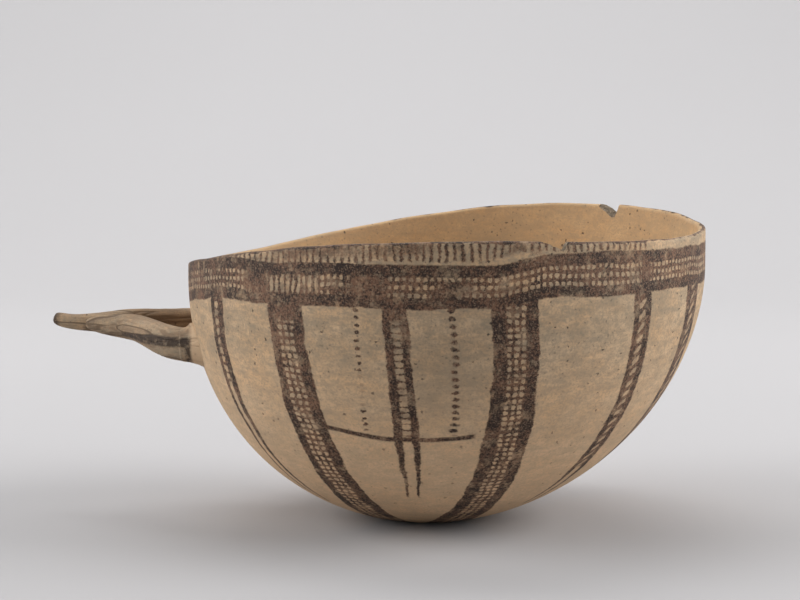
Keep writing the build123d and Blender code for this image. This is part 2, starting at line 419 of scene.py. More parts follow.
def ring_at(centre, heading, width, height, sides):
    """Add one elliptical ring, square to a heading and level across."""
    level = Vector((-heading.y, heading.x, 0)).normalized()
    upward = heading.cross(level).normalized()
    turn = Matrix((level, upward, heading.normalized())).transposed()
    bpy.ops.mesh.primitive_circle_add(
        vertices=sides, radius=width / 2, location=centre, rotation=turn.to_euler()
    )
    bpy.ops.transform.resize(
        value=(1, height / width, 1),
        orient_type="GLOBAL",
        orient_matrix=turn.transposed(),
        center_override=centre,
    )


def ringed_piece(name, rings):
    """A closed piece bridged through rings, each (centre, heading, width, height)."""
    sides = handle().sides
    deselect()
    bpy.ops.mesh.primitive_circle_add(vertices=3, radius=MM)
    piece = bpy.context.object
    piece.name = name
    edit_all()
    bpy.ops.mesh.delete(type="VERT")
    for ring in rings:
        ring_at(*ring, sides)
    for index in range(len(rings) - 1):
        select_vertices(piece, lambda vertex: index <= vertex.index // sides <= index + 1)
        bpy.ops.mesh.bridge_edge_loops()
    for index in (0, len(rings) - 1):
        select_vertices(piece, lambda vertex: vertex.index // sides == index)
        bpy.ops.mesh.edge_face_add()
    bpy.ops.mesh.select_all(action="SELECT")
    bpy.ops.mesh.normals_make_consistent(inside=False)
    bpy.ops.object.mode_set(mode="OBJECT")
    return piece


def select_vertices(piece, wanted):
    """Select the vertices of the piece that are wanted, in edit mode."""
    bpy.ops.mesh.select_mode(type="VERT")
    bpy.ops.mesh.select_all(action="DESELECT")
    mesh = bmesh.from_edit_mesh(piece.data)
    mesh.verts.index_update()
    for vertex in mesh.verts:
        if wanted(vertex):
            vertex.select_set(True)
    mesh.select_flush(True)
    bmesh.update_edit_mesh(piece.data)


def declared(piece, node):
    """Let a finished piece stand for its solid on the one body."""
    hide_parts(node)
    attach(piece, "root")


def add_formed(node, form, rings, lumps, finish):
    """Add a smooth piece of clay formed through rings, with finger marks: lumps is (amount, size)."""
    piece = ringed_piece(f"{node}_{form}", rings)
    pick(piece)
    round_off = piece.modifiers.new("round", "SUBSURF")
    round_off.levels = ROUND_LEVELS
    round_off.render_levels = ROUND_LEVELS
    bpy.ops.object.modifier_apply(modifier=round_off.name)
    bpy.ops.object.shade_smooth()
    amount, size = lumps
    for vertex in piece.data.vertices:
        lump = noise.noise(vertex.co / size) + 0.4 * noise.noise(vertex.co / (0.4 * size))
        vertex.co -= vertex.normal * amount * (0.6 + 0.5 * lump)
    piece.data.update()
    piece.data.materials.append(finish)
    declared(piece, node)


# Shader fields


class Field:
    """A number that varies over a surface: one socket, with arithmetic."""

    def __init__(self, recipe, socket):
        self.recipe = recipe
        self.socket = socket

    def math(self, operation, *others, clamp=False):
        settings = {"operation": operation, "use_clamp": clamp}
        return self.recipe.node("ShaderNodeMath", settings, dict(enumerate((self, *others))))

    def __add__(self, other):
        return self.math("ADD", other)

    __radd__ = __add__

    def __sub__(self, other):
        return self.math("SUBTRACT", other)

    def __rsub__(self, other):
        return self.recipe.node("ShaderNodeMath", {"operation": "SUBTRACT"}, {0: other, 1: self})

    def __mul__(self, other):
        return self.math("MULTIPLY", other)

    __rmul__ = __mul__

    def __truediv__(self, other):
        return self.math("DIVIDE", other)

    def __pow__(self, other):
        return self.math("POWER", other)

    def __neg__(self):
        return self * -1

    def __abs__(self):
        return self.math("ABSOLUTE")

    def __or__(self, other):
        return self.math("MAXIMUM", other)

    def __and__(self, other):
        return self.math("MINIMUM", other)

    def inside(self, edge):
        """1 where the field is above 0, 0 below, with a soft edge."""
        return (self / edge).math("ADD", 0.5, clamp=True)

    def near(self, pitch):
        """Distance to the nearest multiple of a pitch."""
        return self.math("PINGPONG", pitch / 2)

    def between(self, low, high, edge):
        """1 between two values, with soft edges."""
        return (self - low).inside(edge) & (high - self).inside(edge)


class Recipe:
    """Node tree of one material, with one method that adds a node."""

    def __init__(self, name):
        self.material = bpy.data.materials.new(name)
        self.material.use_nodes = True
        self.tree = self.material.node_tree
        self.tree.nodes.clear()
        coordinates = self.node("ShaderNodeTexCoord", {}, {}, "Object")
        self.place = self.moved({"Vector": coordinates, "Scale": (1 / MM,) * 3})

    def node(self, kind, settings, sockets, output=0):
        """Add a node with its settings and the values or links of its sockets; gives one output."""
        node = self.tree.nodes.new(kind)
        for name, value in settings.items():
            setattr(node, name, value)
        for key, value in sockets.items():
            if isinstance(value, Field):
                self.tree.links.new(value.socket, node.inputs[key])
            else:
                node.inputs[key].default_value = value
        return Field(self, node.outputs[output]) if node.outputs else None

    def moved(self, sockets):
        """Places that are shifted or scaled."""
        return self.node("ShaderNodeMapping", {"vector_type": "POINT"}, sockets)

    def noise(self, size, detail=2.0, roughness=0.5, offset=0.0, stretch=(1, 1, 1), place=None):
        """Cloudy field from 0 to 1, with features of a size in millimetres."""
        shift = (offset, 2 * offset, -offset)
        place = self.moved({"Vector": place or self.place, "Location": shift, "Scale": stretch})
        sockets = {"Vector": place, "Scale": 1 / size, "Detail": detail, "Roughness": roughness}
        return self.node("ShaderNodeTexNoise", {"noise_dimensions": "3D"}, sockets)

    def cells(self, size, offset=0.0):
        """Distance to the nearest of scattered points, in shares of their spacing."""
        place = self.moved({"Vector": self.place, "Location": (offset, -offset, offset)})
        settings = {"voronoi_dimensions": "3D", "feature": "F1"}
        sockets = {"Vector": place, "Scale": 1 / size}
        return self.node("ShaderNodeTexVoronoi", settings, sockets, "Distance")

    def mixed(self, factor, first, second):
        """Colour between two colours."""
        ends = [end if isinstance(end, Field) else (*end, 1.0) for end in (first, second)]
        sockets = {0: factor, 6: ends[0], 7: ends[1]}
        return self.node("ShaderNodeMix", {"data_type": "RGBA", "clamp_factor": True}, sockets, 2)

    def position(self):
        """X, Y and Z in millimetres."""
        sockets = {"Vector": self.place}
        return [self.node("ShaderNodeSeparateXYZ", {}, sockets, axis) for axis in range(3)]

    def finish(self, base, roughness, height, depth, specular=0.25, glow=None):
        """Close the material: colour, roughness and a bump from a height field in millimetres."""
        relief = {"Height": height, "Distance": depth * MM, "Strength": 1.0}
        sockets = {
            "Base Color": base,
            "Roughness": roughness,
            "Normal": self.node("ShaderNodeBump", {}, relief),
            "Specular IOR Level": specular,
        }
        if glow:
            sockets.update({"Emission Color": glow, "Emission Strength": 1.0})
        surface = self.node("ShaderNodeBsdfPrincipled", {}, sockets)
        self.node("ShaderNodeOutputMaterial", {}, {"Surface": surface})
        return self.material


def clay_ground(recipe, base, pale, stain):
    """Colour of hand-smoothed slip, with patches, pits and dark flecks, and its relief."""
    patch = recipe.noise(26, 3.0, 0.55)
    cloud = recipe.noise(8, 5.0, 0.68, 11, (0.55, 0.55, 1.0))
    smudge = recipe.noise(15, 6.0, 0.72, 23, (0.45, 0.45, 1.0))
    mottle = recipe.noise(2.4, 5.0, 0.75, 15, (0.7, 0.7, 1.0))
    grain = recipe.noise(0.8, 2.0, 0.6, 5)
    warm = [base[0] * 1.05, base[1] * 0.95, base[2] * 0.83]
    ground = recipe.mixed((patch - 0.5).inside(0.35), base, pale)
    ground = recipe.mixed((cloud - 0.5).inside(0.2) * 0.6, ground, warm)
    grey = (smudge * 0.75 + cloud * 0.25 - 0.54).inside(0.16)
    ground = recipe.mixed(grey * 0.55, ground, stain)
    wiped = recipe.noise(2.6, 4.0, 0.7, 27, (0.2, 0.2, 1.0))
    for dirt, level, edge in ((wiped, 0.55, 0.2), (mottle, 0.53, 0.18), (grain, 0.54, 0.18)):
        ground = recipe.mixed((dirt - level).inside(edge) * 0.5, ground, stain)
    pit_size = (cloud - 0.5) * 0.36 + (grain - 0.5) * 0.4 + (mottle - 0.5) * 0.3 + 0.07
    pits = (pit_size - recipe.cells(3.8, 3)).inside(0.06)
    fleck_size = (mottle - 0.5) * 0.6 + (grain - 0.5) * 0.5 + (smudge - 0.5) * 0.5 + 0.13
    flecks = (fleck_size - recipe.cells(1.6, 21)).inside(0.1)
    ground = recipe.mixed(flecks * 0.5, ground, tints().fleck)
    ground = recipe.mixed(pits * 0.85, ground, tints().pit)
    relief = cloud * 0.35 + mottle * 0.16 + grain * 0.16 - pits * 0.6
    return ground, relief


# Painted pattern, in millimetres and degrees

EDGE = 0.5  # softness of a brush stroke's edge
TURN_HEIGHT = 15.0  # below this a line down the wall drifts no more
DRIFT_HEIGHT = 80.0  # where its drift is nil
FOOT = 200.0  # past the end of any line down the wall
DAB_PITCH = 2.5  # between the dabs of a column
UNDER_BAND = 3.0  # start of the lines down the wall, below the widest ring
WIDE = {"columns": 3, "end": FOOT}
SLANTED = {"slant": 0.75, "rungs_end": 72.0}
# Bearing, drift, widths of the stripes, gap, bare cell and more; the last five are out of sight
LADDERS = (
    (219.2, 0.015, (2.4, 3.4), 2.2, (2.4, 2.3, 3.15), {"rungs_end": 38.0}),
    (242.1, 0.052, (2.9, 3.7), 7.4, (1.55, 1.5, 2.4), WIDE | {"solid": 12.5}),
    (266.9, 0.072, (2.8, 2.6), 2.8, (3.2, 1.95, 2.3), {"solid": 11.5, "rungs_end": 54.0, "end": 85.0}),
    (291.3, 0.085, (4.4, 3.9), 7.0, (1.5, 1.5, 2.25), WIDE),
    (322.6, 0.11, (2.6, 2.8), 2.8, (3.0, 2.0, 3.9), SLANTED),
    (344.6, 0.13, (4.0, 3.4), 4.2, (4.2, 2.0, 3.9), SLANTED),
    (8.0, 0.08, (2.2, 2.4), 2.5, (2.8, 2.2, 3.9), SLANTED | {"rungs_end": 68.0}),
    (50.0, 0.03, (3.8, 3.6), 7.4, (1.6, 1.5, 2.35), WIDE),
    (84.0, -0.03, (2.5, 2.5), 2.6, (3.0, 1.95, 2.3), {"rungs_end": 58.0, "end": 80.0}),
    (119.0, -0.04, (3.4, 3.8), 7.4, (1.6, 1.5, 2.35), WIDE),
    (141.0, -0.015, (2.4, 3.0), 2.1, (2.3, 2.3, 3.1), {"rungs_end": 40.0}),
)
# Bearing, drift, size of a dab, end and faded stretch; the last three are out of sight
DABS = (
    (258.8, 0.03, (1.8, 1.2), 50.0, (29.0, 41.0)),
    (278.5, 0.072, (2.6, 1.6), 52.0),
    (27.0, 0.0, (2.4, 1.5), 52.0),
    (68.0, 0.0, (2.2, 1.4), 50.0),
    (100.0, -0.03, (2.4, 1.5), 48.0),
)


def rim_field(out, y):
    """Height of the rim over a place measured from the rim's centre, with a parabola for its arch."""
    size = bowl()
    reach = out - size.crown_offset / MM
    slope = tan(size.rim_twist) / (size.twist_reach / MM)
    arch = crown_height() / MM - reach * reach / (2 * arch_radius() / MM)
    return arch + (out - size.twist_offset / MM) * y * slope


class Brush:
    """Places on the bowl's outside for the painter, with a hand's wobble."""

    def __init__(self, recipe):
        self.recipe = recipe
        x, y, z = recipe.position()
        level = widest_height() / MM
        ball = bowl().radius / MM
        below = ((level - z) | 0.0) / level
        out = x - bowl().lean / MM * (1 - below ** bowl().lean_power)
        self.radius = (out * out + y * y).math("SQRT")
        self.bearing = y.math("ARCTAN2", out) * degrees(1)
        self.down = ((level - z) / ball).math("ARCSINE") * ball
        self.height = z
        self.rim = rim_field(out, y)
        self.shake = self.wobble(2.6, 11, 2.0, 0.5, 41) + self.wobble(1.8, 1.3, 3.0, 0.75, 43)
        self.sway = self.wobble(2.4, 12, 2.0, 0.5, 47) + self.wobble(1.6, 1.2, 3.0, 0.75, 53)
        self.swell = (recipe.noise(3.2, 4.0, 0.65, 59) - 0.52) * 5.0
        self.cleared = (recipe.noise(6, 4.0, 0.65, 107) - 0.38).inside(0.3) * 0.55 + 0.4

    def wobble(self, amount, *cloud):
        """Unsteadiness of the hand or the brush, within half an amount."""
        return (self.recipe.noise(*cloud) - 0.5) * amount

    def from_bearing(self, bearing):
        """Degrees from a bearing, the short way round."""
        return (self.bearing - bearing).math("WRAP", 180.0, -180.0)

    def across(self, bearing, drift):
        """Millimetres sideways from a line down the wall that drifts by degrees per millimetre."""
        fall = (DRIFT_HEIGHT - self.height) & (DRIFT_HEIGHT - TURN_HEIGHT)
        arc = self.from_bearing(bearing) - fall * drift
        return arc * self.radius * radians(1) + self.shake

    def along(self):
        """Millimetres down the wall from the widest ring, with the hand's wobble."""
        return self.down + self.sway


def stroke(offset, half_width):
    """A stroke of paint along a line."""
    return (half_width - abs(offset)).inside(EDGE)


def bare_cells(brush, across, along, column, cell):
    """Bare cells left in the paint, measured from a cell's middle; cell is (width, height, pitch)."""
    wide, tall, pitch = cell
    sideways = across.near(column) / (wide / 2)
    upright = along.near(pitch) / (tall / 2)
    return (1.0 + brush.swell - sideways ** 3 - upright ** 3).inside(0.8) * brush.cleared


def ladder(
    brush, bearing, drift, stripes, gap, cell, columns=1, slant=0.0, solid=0.0, rungs_end=FOOT, end=98.0
):
    """Two stripes down the wall with columns of bare cells between: gives the stripes and the rungs.

    Down to solid there are no bare cells. Below rungs_end the stripes run on alone, draw together
    and thin out until they end.
    """
    along = brush.along()
    spent = ((along - rungs_end) / max(1.0, end - rungs_end)).math("MULTIPLY", 1.0, clamp=True)
    across = brush.across(bearing, drift) / (1 - spent * 0.35)
    left, right = stripes
    start = -(left + gap + right) / 2
    column = gap / columns
    sideways = across - start - left - column / 2
    bare = bare_cells(brush, sideways, along + across * slant, column, cell)
    bare = bare & (along - solid).inside(1.5)
    between = across.between(start + left - EDGE, -start - right + EDGE, EDGE)
    between = between & (rungs_end - along).inside(2.0)
    thin = 0.5 - spent * 0.3
    left_stripe = stroke(across - start - left / 2, thin * left)
    right_stripe = stroke(across + start + right / 2, thin * right)
    return (left_stripe | right_stripe) & (end - along).inside(2.0), between & (1 - bare)


def dots(brush, bearing, drift, size, end, faded=(300.0, 301.0)):
    """A column of dabs, down to an end, with a stretch where they have faded."""
    across = brush.across(bearing, drift)
    along = brush.along()
    wide, tall = size
    far = ((across / (wide / 2)) ** 2 + (along.near(DAB_PITCH) / (tall / 2)) ** 2).math("SQRT")
    dabs = (1.0 - far + brush.swell * 0.35).inside(0.5) & along.between(6.0, end, 1.0)
    return dabs * (1 - along.between(*faded, 2.0) * 0.75)


def band(brush):
    """The hatched rim and the painted band below it: gives the thick and the thin strokes."""
    recipe = brush.recipe
    usual_height, below_rim = 88.4, 7.6  # of the band's middle
    column, hatch_pitch = 2.25, 2.45
    arc = brush.bearing * radians(1) * (bowl().radius / MM)
    hop = brush.from_bearing(292.0).between(0.0, 90.0, 10.0)
    middle = (usual_height + hop * 3.0) & (brush.rim - below_rim)
    slow = brush.wobble(2.4, 30, 2.0, 0.5, 61)
    level = brush.height - middle + brush.sway * 0.7 + slow
    side = arc + brush.shake
    rows = level.between(-3.6, 3.6, EDGE)
    inner = level.between(-3.1, 3.1, EDGE)
    whole = level.between(-6.8, 7.0, EDGE)
    tall_cells = brush.from_bearing(243.5).between(-6.5, 6.5, 1.0)
    small = bare_cells(brush, side, level, column, (1.35, 1.4, 2.5))
    tall = bare_cells(brush, side, level, column, (1.3, 6.4, 40.0))
    bare = small * (1 - tall_cells) | tall * tall_cells
    blots = brush.from_bearing(234.5).between(-4.5, 3.0, 1.2)
    blots = blots | brush.from_bearing(261.0).between(-4.0, 4.5, 1.2)
    blots = blots | brush.from_bearing(322.8).between(-1.6, 1.6, 0.8)
    smears = (recipe.noise(12, 3.0, 0.6, 67) - 0.6).inside(0.06)
    bare = bare & (1 - (blots | smears))
    depth = brush.rim - brush.height
    hatch_end = 6.4 - brush.from_bearing(288.0).between(0.0, 130.0, 4.0) * 3.0 + brush.sway
    unpainted = brush.from_bearing(338.0).between(-15.0, 22.0, 1.0)
    uneven = brush.wobble(2.2, 2.2, 2.0, 0.6, 79)
    hatch = stroke((side + uneven * 0.5).near(hatch_pitch), 0.5 + uneven * 0.35)
    hatch = hatch & (hatch_end + uneven * 2.0 - depth).inside(0.8) & (1 - unpainted)
    grimy = brush.from_bearing(256.0).between(-24.0, 22.0, 8.0) * 0.07
    rim_smear = (recipe.noise(12, 5.0, 0.7, 71) + grimy - 0.57).inside(0.1)
    rim_smear = rim_smear & (4.2 - depth).inside(1.6) & (1 - unpainted)
    lip_width = 1.0 + brush.wobble(2.2, 5, 3.0, 0.6, 73) - unpainted * 0.5
    lip = (lip_width - depth).inside(0.35)
    return whole & (1 - inner) | lip, rows & (1 - bare) | hatch | rim_smear * 0.8


def painted(brush):
    """All the painted strokes on the outside, as a mask of thick and one of thin paint."""
    ladders = [ladder(brush, *places, **more) for *places, more in LADDERS]
    dabs = [dots(brush, *places) for places in DABS]
    under_band = (brush.down - UNDER_BAND).inside(1.0)
    thick = reduce(or_, dabs + [stripes for stripes, _ in ladders]) & under_band
    thin = reduce(or_, [rungs for _, rungs in ladders]) & under_band
    line_height = 38.0 + brush.from_bearing(272.0) ** 2 * 0.0065
    line = stroke(brush.height - line_height + brush.sway * 0.4, 0.8)
    line = line & brush.from_bearing(266.5).between(-18.5, 20.0, 0.8)
    band_thick, band_thin = band(brush)
    return thick | line | band_thick, thin | band_thin


def painted_slip():
    """Tan slip with the worn, hand-painted pattern."""
    tint = tints()
    recipe = Recipe("slip_with_paint")
    ground, relief = clay_ground(recipe, tint.slip, tint.slip_pale, tint.stain)
    brush = Brush(recipe)
    # a broad darker grey patch on the near side, about the middle of the wall
    near_patch = brush.from_bearing(278.0).between(-12.0, 10.0, 14.0)
    near_patch = near_patch & brush.height.between(44.0, 80.0, 18.0)
    ground = recipe.mixed(near_patch * 0.24, ground, tint.near_grey)
    # painted bounce light: the slip low on the outside is made paler and warmer, as if lit from the
    # floor
    clean = (46.0 - brush.height).inside(50.0)
    ground = recipe.mixed(clean * 0.36, ground, tint.clean)
    thick, thin = painted(brush)
    mask = thick | thin
    flow = recipe.noise(8, 4.0, 0.65, 83)
    dapple = recipe.noise(0.8, 3.0, 0.7, 89)
    full = ((flow - 0.5) * 0.8 + (dapple - 0.5) * 1.1 + thick * 0.08).inside(0.3)
    ink = recipe.mixed(full, tint.paint_thin, tint.paint)
    flecks = (0.16 + (flow - 0.5) * 0.4 - recipe.cells(0.95, 9)).inside(0.14)
    specks = flecks | (recipe.noise(0.6, 2.0, 0.6, 97) - 0.62).inside(0.12)
    ink = recipe.mixed(specks * 0.7, ink, tint.wear)
    worn = (recipe.noise(5, 5.0, 0.75, 101) - 0.6).inside(0.16) * 0.6
    cover = mask * (1 - worn) * (0.82 + full * 0.18)
    base = recipe.mixed(cover, ground, ink)
    roughness = 0.78 - cover * 0.14 + (flow - 0.5) * 0.12
    return recipe.finish(base, roughness, relief + cover * 0.12, 0.35)


def plain_slip():
    """Plain warm slip of the inside."""
    tint = tints()
    recipe = Recipe("slip_inside")
    pale = [min(1.0, part * 1.18) for part in tint.inside]
    soft = [(dark + light) / 2 for dark, light in zip(tint.stain, tint.inside)]
    ground, relief = clay_ground(recipe, tint.inside, pale, soft)
    x, y, z = recipe.position()
    wiping = (recipe.noise(6, 3.0, 0.55, 7, (0.12, 0.12, 1.0)) - 0.5) * 0.5
    base = recipe.mixed((wiping + 0.1).inside(0.5) * 0.3, ground, tint.stain)
    depth = rim_field(x - bowl().lean / MM, y) - z
    width = 0.2 + (recipe.noise(6, 2.0, 0.6, 73) - 0.5) * 1.8
    base = recipe.mixed((width - depth).inside(0.4), base, tint.paint)
    return recipe.finish(base, 0.8 + wiping * 0.1, relief + wiping, 0.35)


def bare_clay():
    """Broken and bare clay: coarse, with grits."""
    tint = tints()
    recipe = Recipe("bare_clay")
    dark = [part * 0.55 for part in tint.fracture]
    lump = recipe.noise(1.3, 4.0, 0.65, 13)
    base = recipe.mixed((lump - 0.5).inside(0.3), dark, tint.fracture)
    grits = (0.2 - recipe.cells(0.9, 17)).inside(0.1)
    base = recipe.mixed(grits * 0.6, base, tint.slip_pale)
    return recipe.finish(base, 0.9 - grits * 0.1, lump + grits * 0.3, 0.5)


def handle_slip():
    """Worn slip of the handle, with brown streaks, a dark tip and the painted line on its near side."""
    tint = tints()
    recipe = Recipe("slip_on_handle")
    ground, relief = clay_ground(recipe, tint.handle, tint.slip, tint.stain)
    x, y, z = recipe.position()
    wall, line_end, tip_start = -78.0, -116.0, -133.0  # along X
    lane = abs(y) - ((x | -107.0) & -86.0) * 1.05
    along = recipe.node("ShaderNodeCombineXYZ", {}, {0: x, 1: lane, 2: z})
    streak = recipe.noise(2.6, 4.0, 0.65, 19, (0.12, 1.0, 1.0), along)
    base = recipe.mixed((streak - 0.5).inside(0.2) * 0.65, ground, tint.streak)
    fold = recipe.noise(6.5, 2.0, 0.5, 33, (0.12, 0.8, 1.2), along)
    crease = (0.022 - abs(fold - 0.5)).inside(0.025)
    base = recipe.mixed(crease * 0.6, base, tint.crease)
    shake = (recipe.noise(5, 3.0, 0.6, 29) - 0.5) * 3.0
    root = widest_height() / MM - handle().root_drop / MM
    near = (-y - 6.0 - ((x + 112.0) | 0.0) * 0.5).inside(3.0)
    widening = ((x + 114.0) / 20.0).math("MULTIPLY", 1.0, clamp=True)
    line = (0.4 + widening * 1.4 - abs(z - root - 0.6 + shake * 0.3)).inside(0.7) & near
    line = line & (wall - x).inside(2.0) * (x - line_end).inside(4.0)
    foot = (1.0 - abs(x + 78.7 + shake * 0.2)).inside(0.9)
    foot = foot & (-20.0 - y).inside(4.0) & (root + 2.0 - z).inside(2.0)
    # painted shade: the straps' sides that face each other are darkened, as if in the shadow of the gap
    # between them
    inner = (9.0 + (x + 105.0) * 0.72 - abs(y)).inside(5.0) & x.between(-108.0, wall, 6.0)
    base = recipe.mixed(inner * 0.5, base, tint.painted_gap_shade)
    base = recipe.mixed((x - wall).inside(2.0) * 0.75, base, tint.slip_pale)
    tip = (tip_start - x + shake * 0.4).inside(2.0)
    worn = (recipe.noise(2.2, 3.0, 0.7, 37) - 0.57).inside(0.14) * 0.6
    marks = (line | foot | tip) * (1 - worn)
    base = recipe.mixed(marks * 0.88, base, tint.paint)
    return recipe.finish(base, 0.8 - marks * 0.1, relief + streak * 0.4 - crease * 0.5, 0.4)


@cache
def finishes():
    """The four finishes of the bowl, each made once."""
    return {
        "outside": painted_slip(),
        "inside": plain_slip(),
        "clay": bare_clay(),
        "handle": handle_slip(),
    }


# Pieces

SIDES = (("front", -1), ("back", 1))  # near and far strap, and the sign of their Y
ROOT_TILT = 1.2  # far root above the handle's level and near root below it, in millimetres
# Stations of the straps: reach, offset, rise, width and height in millimetres
NEAR_STRAP = (
    (-7.0, 26.0, -0.7, 12.3, 9.6),
    (-3.0, 26.0, -0.7, 12.3, 9.6),
    (3.0, 24.6, -0.2, 12.0, 9.0),
    (9.9, 19.3, 1.5, 11.2, 7.8),
    (15.8, 11.6, 2.7, 10.2, 8.0),
    (22.5, 5.4, 3.2, 9.8, 7.8),
    (29.0, 3.8, 3.3, 8.6, 6.4),
    (35.0, 2.9, 3.5, 6.4, 4.6),
    (38.6, 2.3, 3.6, 4.2, 3.1),
    (39.7, 2.0, 3.6, 2.2, 1.7),
)
FAR_STRAP = (
    (-7.0, 26.0, 1.2, 12.3, 10.4),
    (-3.0, 26.0, 1.2, 12.3, 10.4),
    (3.0, 24.6, 1.5, 12.0, 9.8),
    (9.9, 19.3, 2.4, 10.6, 8.6),
    (15.8, 11.9, 3.2, 9.8, 8.4),
    (22.5, 5.2, 4.0, 9.6, 8.2),
    (29.0, 3.2, 4.0, 8.8, 7.0),
    (36.0, 1.6, 3.7, 7.4, 5.8),
    (43.0, 0.4, 3.6, 6.2, 4.8),
    (48.5, 0.0, 4.4, 5.6, 4.4),
    (51.2, 0.0, 5.2, 4.8, 3.8),
    (52.1, 0.0, 5.5, 2.6, 2.0),
)
STRAPS = {-1: NEAR_STRAP, 1: FAR_STRAP}


class MODEL_OT_bowl_skins(bpy.types.Operator):
    """Model the clay wall and the two slip coats, with the chips in the lip"""

    bl_idname = "bowl.skins"
    bl_label = "Clay wall and slip coats"

    def execute(self, context):
        size = bowl()
        steps = size.steps
        coat = size.coat
        outside = skin_points(lambda angle, height: 0, foot_angle(0), steps)
        under = skin_points(lambda angle, height: coat, foot_angle(coat), steps // 3)
        inside = skin_points(inner_depth(0), 0, steps)
        beneath = skin_points(inner_depth(coat), 0, steps // 3)
        core_outside = under + lip_half(1, coat)
        core_inside = (beneath + lip_half(-1, coat))[::-1]
        outer_line = outside + lip_half(1, 0) + core_outside[::-1] + outside[:1]
        inner_line = inside + lip_half(-1, 0) + core_inside
        core_line = [(0, 0)] + core_outside + core_inside
        skins = {
            "outer_slip": (outer_line, "painted_slip", "outside"),
            "inner_slip": (inner_line, "plain_slip", "inside"),
            "bowl_body": (core_line, "fired_clay", "clay"),
        }
        tools = [
            chip_tool("near_chip", 299.4, 9.6 * MM, 2.4 * MM, (0.1, 0.35), radians(8)),
            chip_tool("far_chip", 52.6, 9.4 * MM, 2.7 * MM, (-0.35, -0.1), radians(34)),
        ]
        for tool in tools:
            tool.data.materials.append(finishes()["clay"])
        for node, (line, slot, look) in skins.items():
            piece = hand_shaped(spun(drawn_profile(node + "_skin", line)))
            piece.data.materials.append(finishes()[look])
            cut_by(piece, tools)
            declared(piece, node)
        for tool in tools:
            bpy.data.objects.remove(tool)
        return {"FINISHED"}


def strap_point(side, reach, offset, rise):
    """Point of a strap's middle line, from the widest ring, the middle plane and the roots."""
    start = bowl().lean - bowl().radius
    root = widest_height() - handle().root_drop
    return Vector((start - reach * MM, side * offset * MM, root + rise * MM))


def strap_rings(side):
    """Rings along a strap, each square to its middle line."""
    stations = STRAPS[side]
    points = [strap_point(side, *station[:3]) for station in stations]
    rings = []
    for index, (point, station) in enumerate(zip(points, stations)):
        before = points[max(0, index - 1)]
        after = points[min(len(points) - 1, index + 1)]
        rings.append((point, (after - before).normalized(), station[3] * MM, station[4] * MM))
    return rings


class MODEL_OT_handle_straps(bpy.types.Operator):
    """Model the two straps of the wishbone"""

    bl_idname = "bowl.straps"
    bl_label = "Handle straps"

    def execute(self, context):
        finish = finishes()["handle"]
        lumps = (0.3 * MM, 6 * MM)
        for name, side in SIDES:
            node = name + "_handle_arm"
            add_formed(node, "strap", strap_rings(side), lumps, finish)
        return {"FINISHED"}


def root_place(side, inset):
    """Where a strap's middle line meets a skin of the bowl, and that skin's outward direction."""
    height = widest_height() - handle().root_drop + side * ROOT_TILT * MM
    below = widest_height() - height
    spread = handle().root_spread
    radius = bowl().radius - inset
    x = axis_x(height) - sqrt(radius ** 2 - below ** 2 - spread ** 2)
    place = Vector((x, side * spread, height))
    outward = (place - Vector((axis_x(height), 0, widest_height()))).normalized()
    return place, outward


class MODEL_OT_root_collars(bpy.types.Operator):
    """Model the luting clay round the two roots"""

    bl_idname = "bowl.collars"
    bl_label = "Root collars"

    def execute(self, context):
        size = handle()
        finish = finishes()["handle"]
        lumps = (0.12 * MM, 5 * MM)
        pull = 0.25 * MM  # how far the collar's end draws in
        for name, side in SIDES:
            place, outward = root_place(side, 0)
            rise, width, height = STRAPS[side][1][2:]
            lift = (rise - ROOT_TILT * side) * MM
            rings = []
            for share in (-0.5, 0.0, 0.1, 0.22, 0.4, 0.62, 0.85, 1.0):
                way = outward.lerp(Vector((-1, 0, 0)), max(0.0, share)).normalized()
                spare = size.collar_foot * (1 - max(0.0, share)) ** 2.4 - pull * share
                centre = place + Vector((-size.collar_length * share, 0, lift))
                rings.append((centre, way, width * MM + 2 * spare, height * MM + 2 * spare))
            add_formed(name + "_root_collar", "luting", rings, lumps, finish)
        return {"FINISHED"}


class MODEL_OT_tang_pads(bpy.types.Operator):
    """Model the pads smoothed over the tangs inside the bowl"""

    bl_idname = "bowl.pads"
    bl_label = "Tang pads"

    def execute(self, context):
        size = handle()
        finish = finishes()["inside"]
        lumps = (0.15 * MM, 6 * MM)
        dome = ((1.0, -0.4), (0.9, 0.12), (0.7, 0.5), (0.45, 0.8), (0.16, 0.95))
        for name, side in SIDES:
            outer, _ = root_place(side, 0)
            polar = degrees(acos((widest_height() - outer.z) / bowl().radius))
            place, outward = root_place(side, wall_at(polar, outer.z))
            rings = []
            for radius_share, height_share in dome:
                centre = place - outward * size.pad_height * height_share
                across = 2 * size.pad_radius * radius_share
                rings.append((centre, -outward, across, across))
            add_formed(name + "_tang_pad", "dome", rings, lumps, finish)
        return {"FINISHED"}


# Stage, in metres

FLOOR_WIDTH, FLOOR_DEPTH = 6.0, 4.0
BACKDROP_HEIGHT, BACKDROP_BEND = 2.5, 1.2
LAMP_AIM = (0, 0, 0.05)
LAMPS = (  # name, place, aim, size and power
    ("left", (-1.4, -0.3, 0.75), LAMP_AIM, 1.2, 18),
    ("right", (1.4, 0.2, 0.8), LAMP_AIM, 1.2, 23.5),
    ("above", (-0.1, 0.7, 1.4), LAMP_AIM, 1.2, 9),
    ("backdrop", (-0.6, 0.7, 1.9), (-0.5, 2.0, 1.0), 1.6, 22),
)


